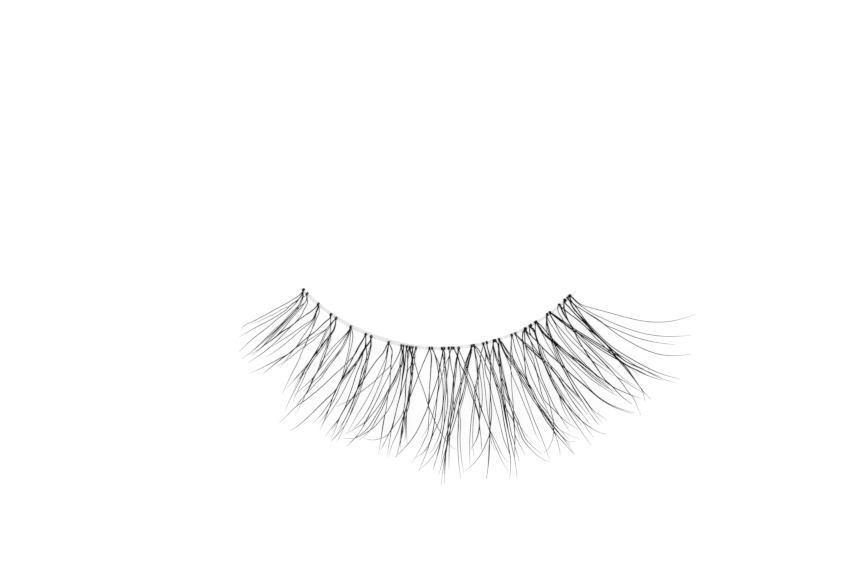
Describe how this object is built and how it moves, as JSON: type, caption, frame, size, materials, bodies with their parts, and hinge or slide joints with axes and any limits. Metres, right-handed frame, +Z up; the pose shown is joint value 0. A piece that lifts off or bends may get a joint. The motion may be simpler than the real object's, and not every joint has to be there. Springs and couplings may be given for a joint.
{
  "type": "false eyelash strip",
  "caption": "False eyelash strip lying flat: a clear curved band with tufts of long curled black lashes knotted along it, longer towards the outer corner.",
  "frame": {"origin": "middle of the flat underside of the band, halfway along its curve", "axes": "+X along the strip's chord towards the outer corner of the eye, where the lashes are longest; +Y towards the hollow side of the curve, so the lashes run out towards -Y; +Z up off the surface that the strip lies on"},
  "size_m": [0.0484, 0.0214, 0.0047],
  "materials": {
    "band_film": "clear frosted film, satin",
    "lash_hair": "near-black synthetic fibre with a soft sheen"
  },
  "bodies": {
    "root": {"band": "band_film", "tuft_01": "lash_hair", "tuft_02": "lash_hair", "tuft_03": "lash_hair", "tuft_04": "lash_hair", "tuft_05": "lash_hair", "tuft_06": "lash_hair", "tuft_07": "lash_hair", "tuft_08": "lash_hair", "tuft_09": "lash_hair", "tuft_10": "lash_hair", "tuft_11": "lash_hair", "tuft_12": "lash_hair", "tuft_13": "lash_hair", "tuft_14": "lash_hair", "tuft_15": "lash_hair", "tuft_16": "lash_hair", "tuft_17": "lash_hair", "tuft_18": "lash_hair", "tuft_19": "lash_hair", "tuft_20": "lash_hair"}
  },
  "joints": []
}
